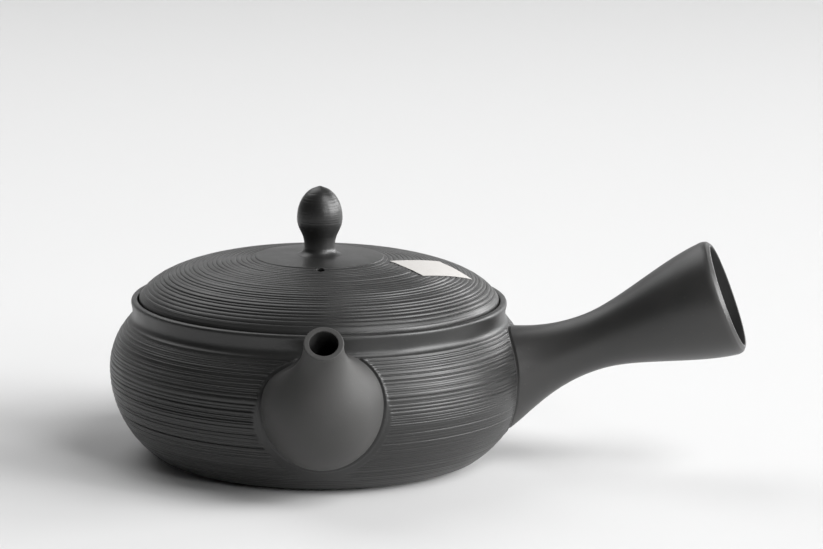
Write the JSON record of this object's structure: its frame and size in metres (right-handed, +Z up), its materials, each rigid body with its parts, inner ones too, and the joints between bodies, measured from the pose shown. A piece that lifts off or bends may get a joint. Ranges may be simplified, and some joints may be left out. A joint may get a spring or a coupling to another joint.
{
  "type": "side-handled teapot",
  "caption": "Low round side-handled teapot in unglazed black stoneware with comb-turned grooves, tube spout over a strainer, hollow handle and a lift-off domed lid with a bud knob.",
  "frame": {"origin": "middle of the flat base, on the table", "axes": "+Z up along the pot's turning axis, -Y the way the spout points, +X the side that the handle stands out on"},
  "size_m": [0.1889, 0.1429, 0.0816],
  "materials": {
    "stoneware_body": "unglazed black stoneware, comb-turned, soft satin sheen",
    "stoneware_spout": "unglazed black stoneware, wiped smooth",
    "stoneware_inside": "unglazed black stoneware, as thrown",
    "stoneware_handle": "unglazed black stoneware, thrown and wiped smooth",
    "stoneware_lid": "unglazed black stoneware, comb-turned, soft satin sheen",
    "stoneware_knob": "unglazed black stoneware with fine turning lines",
    "label_paper": "plain fibrous handmade paper, matt"
  },
  "bodies": {
    "pot": {"body": "stoneware_body", "spout": "stoneware_spout", "strainer": "stoneware_inside", "handle": "stoneware_handle"},
    "lid": {"lid": "stoneware_lid", "knob": "stoneware_knob", "label": "label_paper"}
  },
  "joints": [
    {"name": "lid_lift", "type": "slide", "parent": "pot", "child": "lid", "axis": [0, 0, 1], "range_m": [0, 0.06]}
  ]
}
